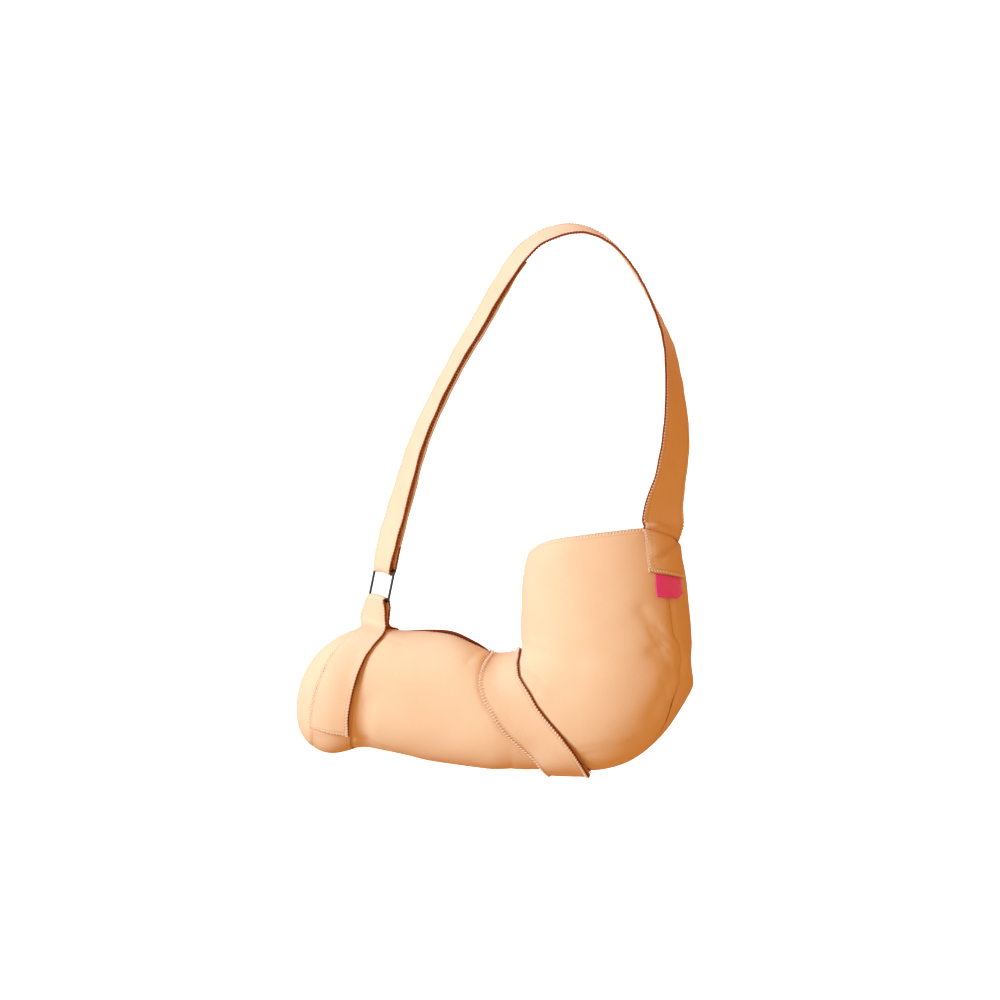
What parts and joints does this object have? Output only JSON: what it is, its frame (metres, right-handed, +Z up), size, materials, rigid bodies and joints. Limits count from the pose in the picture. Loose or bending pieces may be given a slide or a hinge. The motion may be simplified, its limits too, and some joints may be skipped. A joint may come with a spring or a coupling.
{
  "type": "arm sling",
  "caption": "Foam cloth arm sling in its worn form: elbow pouch open at the upper arm, wrist strap, elbow band and ringed shoulder strap",
  "frame": {"origin": "under the highest point of the shoulder strap, where the strap lies on the shoulder", "axes": "+Z up along the upper arm, -X the way the forearm points, -Y the outside of the sling, away from the body"},
  "size_m": [0.3818, 0.1544, 0.5358],
  "materials": {
    "pouch_cloth": "soft brushed foam laminate",
    "strap_cloth": "soft brushed foam laminate, overlocked edges",
    "ring_steel": "dark bent wire",
    "tab_weave": "woven ribbon",
    "hook_tape": "hook tape"
  },
  "bodies": {
    "root": {"front_panel": "pouch_cloth", "back_panel": "pouch_cloth", "wrist_strap": "strap_cloth", "elbow_band": "strap_cloth", "shoulder_strap": "strap_cloth", "strap_ring": "ring_steel", "label_tab": "tab_weave", "wrist_hook_pad": "hook_tape", "elbow_hook_pad": "hook_tape", "shoulder_hook_pad": "hook_tape"}
  },
  "joints": []
}
